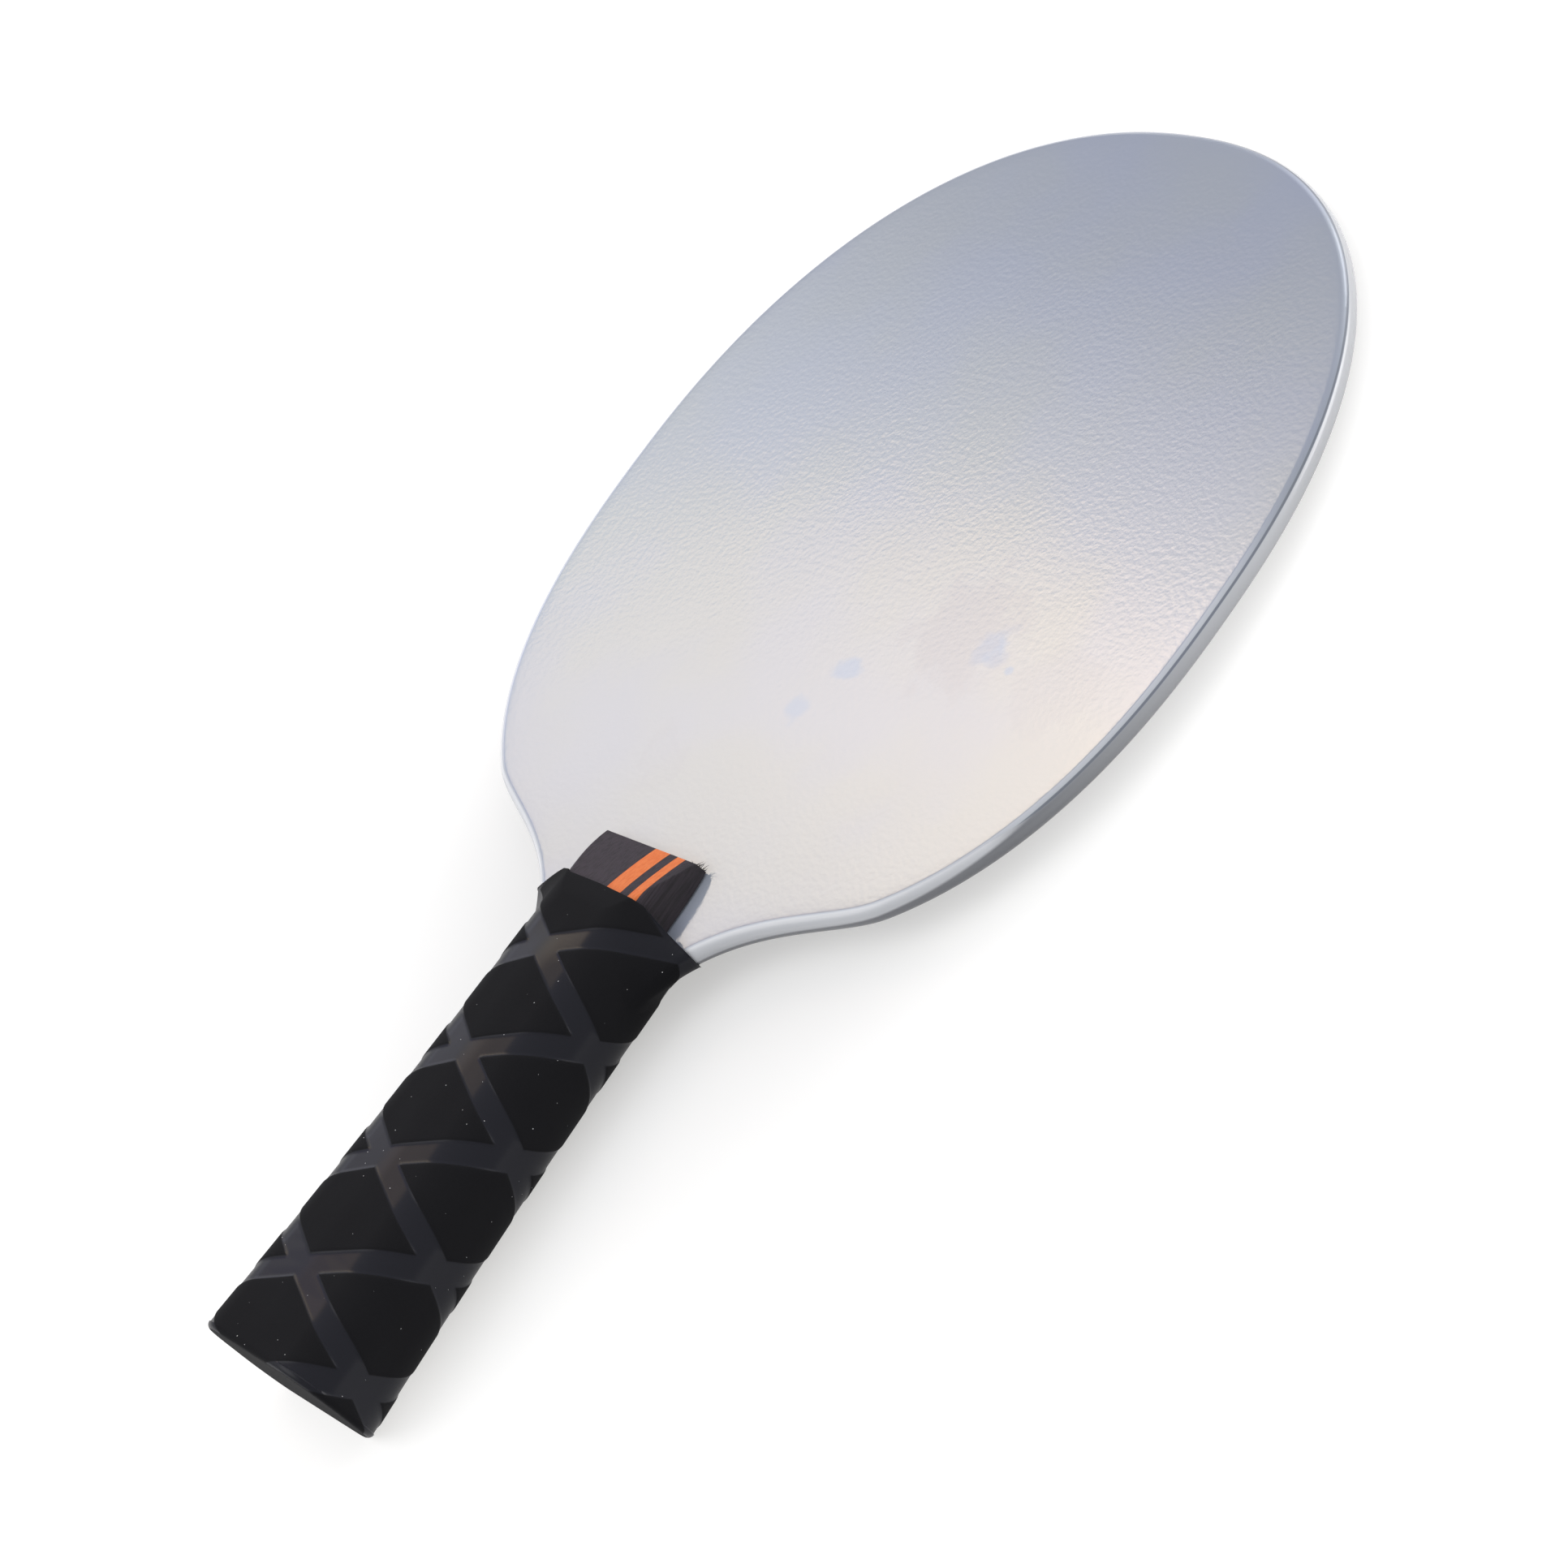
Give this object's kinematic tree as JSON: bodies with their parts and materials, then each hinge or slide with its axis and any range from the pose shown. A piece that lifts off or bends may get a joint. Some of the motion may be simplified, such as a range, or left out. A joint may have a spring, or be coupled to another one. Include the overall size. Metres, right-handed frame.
{
  "type": "table tennis racket",
  "caption": "Table tennis practice racket with a bare solid metal blade, striped wooden handle scales and a black shrunk grip sleeve.",
  "frame": {"origin": "middle of the racket's box: halfway along its length, on the blade's middle plane", "axes": "+Y along the racket from the butt to the tip, +Z out of the front face, +X to the right seen from the front"},
  "size_m": [0.15, 0.2592, 0.021],
  "materials": {
    "coated_metal": "semi-gloss silver grey coating",
    "dark_wood": "dyed dark grey, smooth, fine grain",
    "orange_wood": "dyed orange, smooth, fine grain",
    "glue": "dark brown, hidden",
    "grip_rubber": "matte black pads between smooth crossing bands"
  },
  "bodies": {
    "root": {"blade": "coated_metal", "front_glue_film": "glue", "front_broad_dark_strip": "dark_wood", "front_wide_orange_strip": "orange_wood", "front_middle_dark_strip": "dark_wood", "front_narrow_orange_strip": "orange_wood", "front_edge_dark_strip": "dark_wood", "back_glue_film": "glue", "back_broad_dark_strip": "dark_wood", "back_wide_orange_strip": "orange_wood", "back_middle_dark_strip": "dark_wood", "back_narrow_orange_strip": "orange_wood", "back_edge_dark_strip": "dark_wood", "grip_sleeve": "grip_rubber"}
  },
  "joints": []
}
